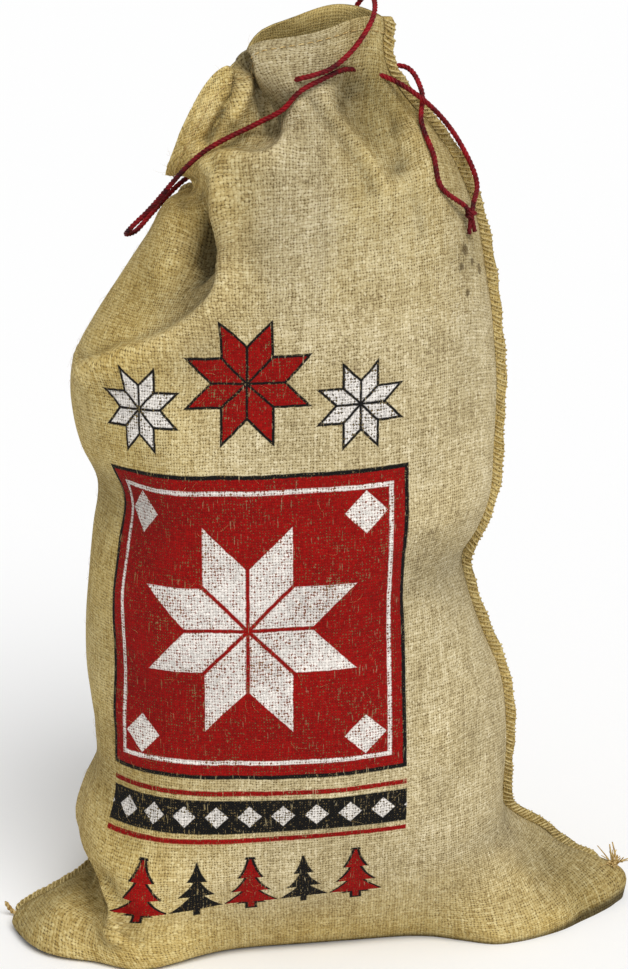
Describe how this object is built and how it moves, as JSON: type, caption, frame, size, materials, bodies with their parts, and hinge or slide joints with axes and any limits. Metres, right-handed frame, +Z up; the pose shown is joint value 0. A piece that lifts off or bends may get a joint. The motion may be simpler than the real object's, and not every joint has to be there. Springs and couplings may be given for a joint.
{
  "type": "burlap sack",
  "caption": "Hollow burlap sack with seamed sides and spread bottom corners, standing open with its neck gathered by a knotted drawstring.",
  "frame": {"origin": "on the floor, under the middle of the sack's width and depth", "axes": "+Z up, the printed front faces -Y, +X to the right seen from the front"},
  "size_m": [0.594, 0.3355, 0.874],
  "materials": {
    "burlap": "coarse plain-woven jute in a light straw brown, matt and slightly hairy, printed on the front in red, white and black",
    "cord_red": "twisted red cord, soft sheen"
  },
  "bodies": {
    "root": {"sack": "burlap", "drawstring": "cord_red", "drawstring_knot": "cord_red"}
  },
  "joints": []
}
